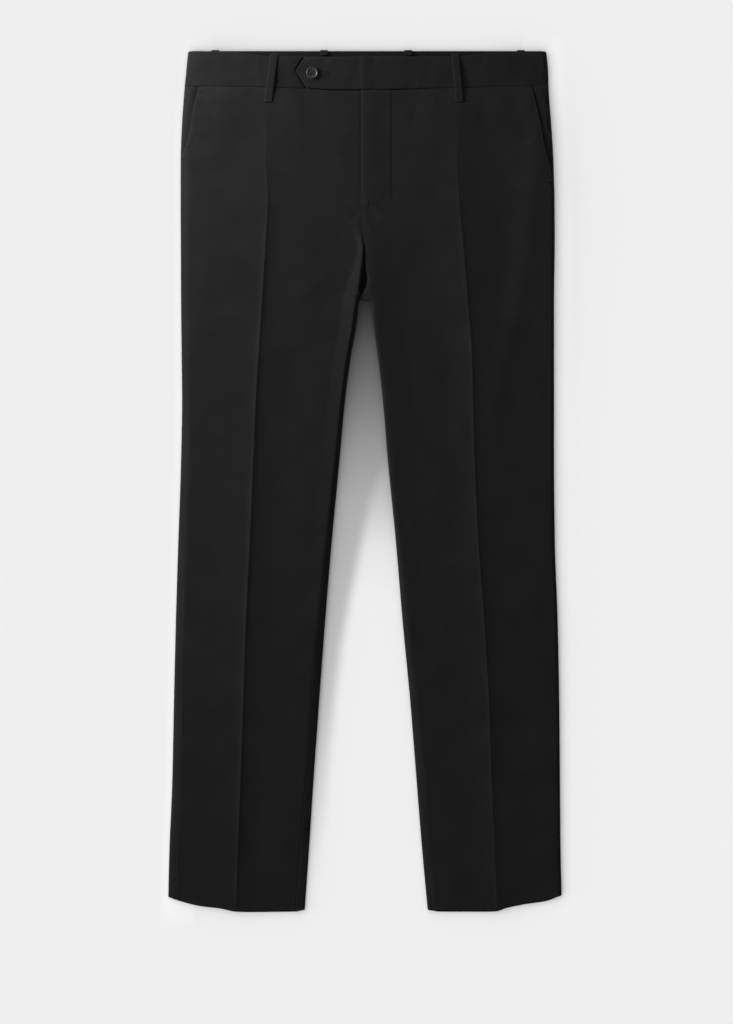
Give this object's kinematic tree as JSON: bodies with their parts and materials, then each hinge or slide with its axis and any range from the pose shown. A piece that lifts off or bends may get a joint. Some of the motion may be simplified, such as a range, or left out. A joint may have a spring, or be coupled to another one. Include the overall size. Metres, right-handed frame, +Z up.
{
  "type": "chino trousers laid flat",
  "caption": "Black flat-front trousers laid flat, front up, with pressed creases, slanted pockets and a pointed waistband tab.",
  "frame": {"origin": "under the middle of the garment's outline, on the surface it lies on", "axes": "+X to the wearer's left, +Y from the hems to the waist, +Z up from the surface, out of the front"},
  "size_m": [0.4916, 1.0771, 0.0145],
  "materials": {
    "black_cloth": "matt fine twill",
    "button": "satin"
  },
  "bodies": {
    "root": {"front_right": "black_cloth", "front_left": "black_cloth", "back_right": "black_cloth", "back_left": "black_cloth", "waistband_right": "black_cloth", "waistband_left": "black_cloth", "fly_facing": "black_cloth", "pocket_facing_right": "black_cloth", "pocket_facing_left": "black_cloth", "belt_loop_front_right": "black_cloth", "belt_loop_front_left": "black_cloth", "belt_loop_side_right": "black_cloth", "belt_loop_back_right": "black_cloth", "belt_loop_back_left": "black_cloth", "belt_loop_side_left": "black_cloth", "button": "button"}
  },
  "joints": []
}
